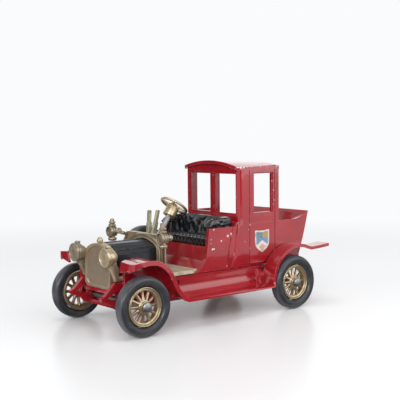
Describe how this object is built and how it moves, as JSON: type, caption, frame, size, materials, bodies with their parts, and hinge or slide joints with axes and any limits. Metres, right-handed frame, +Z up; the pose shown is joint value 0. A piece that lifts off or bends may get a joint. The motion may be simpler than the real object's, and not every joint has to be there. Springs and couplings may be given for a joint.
{
  "type": "die-cast toy car",
  "caption": "Die-cast model of a veteran town car with an open front bench, a roofed cab with open windows, an open rear tub and spoked wheels that roll freely.",
  "frame": {"origin": "on the ground below the middle of the car's length and width", "axes": "+X forward, +Y to the car's left, +Z up"},
  "size_m": [0.089, 0.0428, 0.0511],
  "materials": {
    "red_enamel": "gloss enamel on zinc casting",
    "steel": "plain bright steel",
    "bench_black": "gloss black moulding",
    "bonnet_black": "semi-gloss black moulding",
    "gold_trim": "dull gold plating on plastic",
    "column_grey": "worn grey",
    "tyre_black": "semi-matte black"
  },
  "bodies": {
    "car": {"chassis_casting": "red_enamel", "body_shell": "red_enamel", "baseplate": "red_enamel", "front_rivet": "steel", "rear_rivet": "steel", "front_bench": "bench_black", "bonnet": "bonnet_black", "radiator": "gold_trim", "dash_panel": "gold_trim", "floor_tray": "gold_trim", "steering_column": "column_grey", "brake_lever": "gold_trim", "gear_lever": "gold_trim", "headlamp_left": "gold_trim", "headlamp_right": "gold_trim", "side_lamp_left": "gold_trim", "side_lamp_right": "gold_trim", "spare_tyre": "tyre_black"},
    "steering": {"steering_wheel": "gold_trim"},
    "front_axle": {"front_axle": "steel"},
    "rear_axle": {"rear_axle": "steel"},
    "front_left": {"front_left_wheel": "gold_trim", "front_left_tyre": "tyre_black"},
    "front_right": {"front_right_wheel": "gold_trim", "front_right_tyre": "tyre_black"},
    "rear_left": {"rear_left_wheel": "gold_trim", "rear_left_tyre": "tyre_black"},
    "rear_right": {"rear_right_wheel": "gold_trim", "rear_right_tyre": "tyre_black"}
  },
  "joints": [
    {"name": "front_axle_spin", "type": "hinge", "parent": "car", "child": "front_axle", "pos_m": [0.0355, 0, 0.00912], "axis": [0, 1, 0], "continuous": true},
    {"name": "rear_axle_spin", "type": "hinge", "parent": "car", "child": "rear_axle", "pos_m": [-0.0275, 0, 0.00912], "axis": [0, 1, 0], "continuous": true},
    {"name": "front_left_roll", "type": "hinge", "parent": "front_axle", "child": "front_left", "pos_m": [0.0355, 0.0187, 0.00912], "axis": [0, 1, 0], "continuous": true},
    {"name": "front_right_roll", "type": "hinge", "parent": "front_axle", "child": "front_right", "pos_m": [0.0355, -0.0187, 0.00912], "axis": [0, 1, 0], "continuous": true},
    {"name": "rear_left_roll", "type": "hinge", "parent": "rear_axle", "child": "rear_left", "pos_m": [-0.0275, 0.0187, 0.00912], "axis": [0, 1, 0], "continuous": true},
    {"name": "rear_right_roll", "type": "hinge", "parent": "rear_axle", "child": "rear_right", "pos_m": [-0.0275, -0.0187, 0.00912], "axis": [0, 1, 0], "continuous": true},
    {"name": "steering_turn", "type": "hinge", "parent": "car", "child": "steering", "pos_m": [0.0047, -0.006, 0.036], "axis": [-0.5705, 0, 0.8213], "continuous": true}
  ]
}
